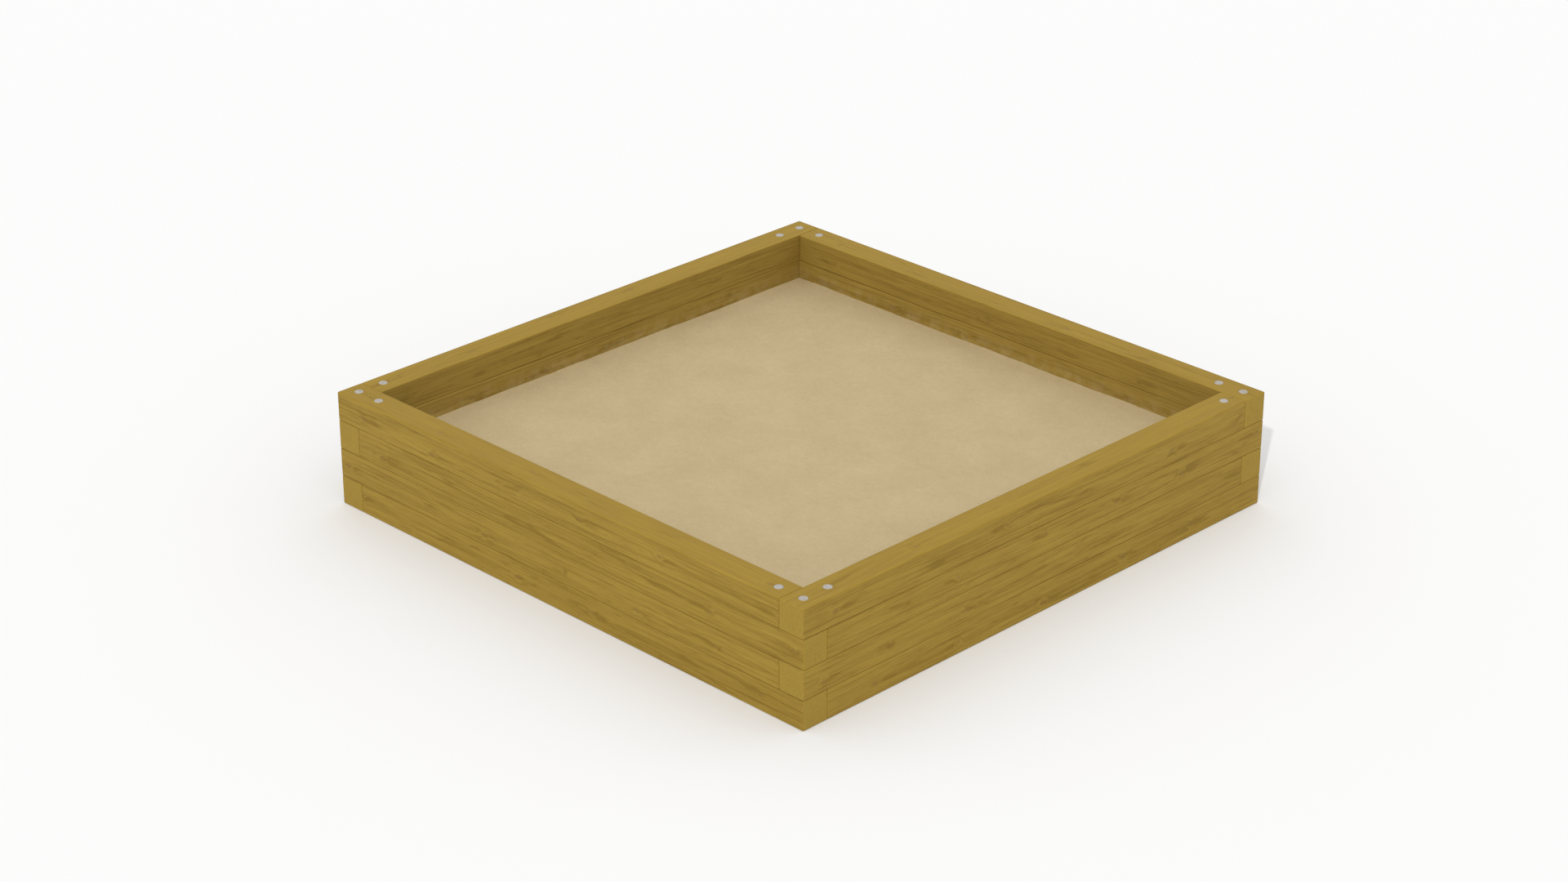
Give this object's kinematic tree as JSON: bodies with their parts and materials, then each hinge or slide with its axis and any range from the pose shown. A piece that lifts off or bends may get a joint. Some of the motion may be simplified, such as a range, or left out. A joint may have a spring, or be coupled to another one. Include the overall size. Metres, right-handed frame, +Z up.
{
  "type": "timber sandbox",
  "caption": "Low square sandbox of stacked square timbers with lapped corners, through-bolted, filled with sand over a ground liner.",
  "frame": {"origin": "centre of the square footprint, on the ground", "axes": "+Z up, +X to the right wall, +Y to the back wall; the walls are parallel to X and Y"},
  "size_m": [1.889, 1.889, 0.3582],
  "materials": {
    "timber": "stained, matte",
    "bolt_zinc": "galvanised, dull",
    "washer_zinc": "galvanised, dull",
    "nut_zinc": "galvanised, dull",
    "sand": "loose dry grains, matte",
    "liner": "woven, matte"
  },
  "bodies": {
    "root": {"front_timber_1": "timber", "right_timber_1": "timber", "back_timber_1": "timber", "left_timber_1": "timber", "front_timber_2": "timber", "right_timber_2": "timber", "back_timber_2": "timber", "left_timber_2": "timber", "front_timber_3": "timber", "right_timber_3": "timber", "back_timber_3": "timber", "left_timber_3": "timber", "front_timber_4": "timber", "right_timber_4": "timber", "back_timber_4": "timber", "left_timber_4": "timber", "front_bolt_left": "bolt_zinc", "front_bolt_right": "bolt_zinc", "front_bolt_corner": "bolt_zinc", "right_bolt_left": "bolt_zinc", "right_bolt_right": "bolt_zinc", "right_bolt_corner": "bolt_zinc", "back_bolt_left": "bolt_zinc", "back_bolt_right": "bolt_zinc", "back_bolt_corner": "bolt_zinc", "left_bolt_left": "bolt_zinc", "left_bolt_right": "bolt_zinc", "left_bolt_corner": "bolt_zinc", "front_washer_left": "washer_zinc", "front_washer_right": "washer_zinc", "front_washer_corner": "washer_zinc", "right_washer_left": "washer_zinc", "right_washer_right": "washer_zinc", "right_washer_corner": "washer_zinc", "back_washer_left": "washer_zinc", "back_washer_right": "washer_zinc", "back_washer_corner": "washer_zinc", "left_washer_left": "washer_zinc", "left_washer_right": "washer_zinc", "left_washer_corner": "washer_zinc", "front_nut_left": "nut_zinc", "front_nut_right": "nut_zinc", "front_nut_corner": "nut_zinc", "right_nut_left": "nut_zinc", "right_nut_right": "nut_zinc", "right_nut_corner": "nut_zinc", "back_nut_left": "nut_zinc", "back_nut_right": "nut_zinc", "back_nut_corner": "nut_zinc", "left_nut_left": "nut_zinc", "left_nut_right": "nut_zinc", "left_nut_corner": "nut_zinc", "sand": "sand", "liner": "liner"}
  },
  "joints": []
}
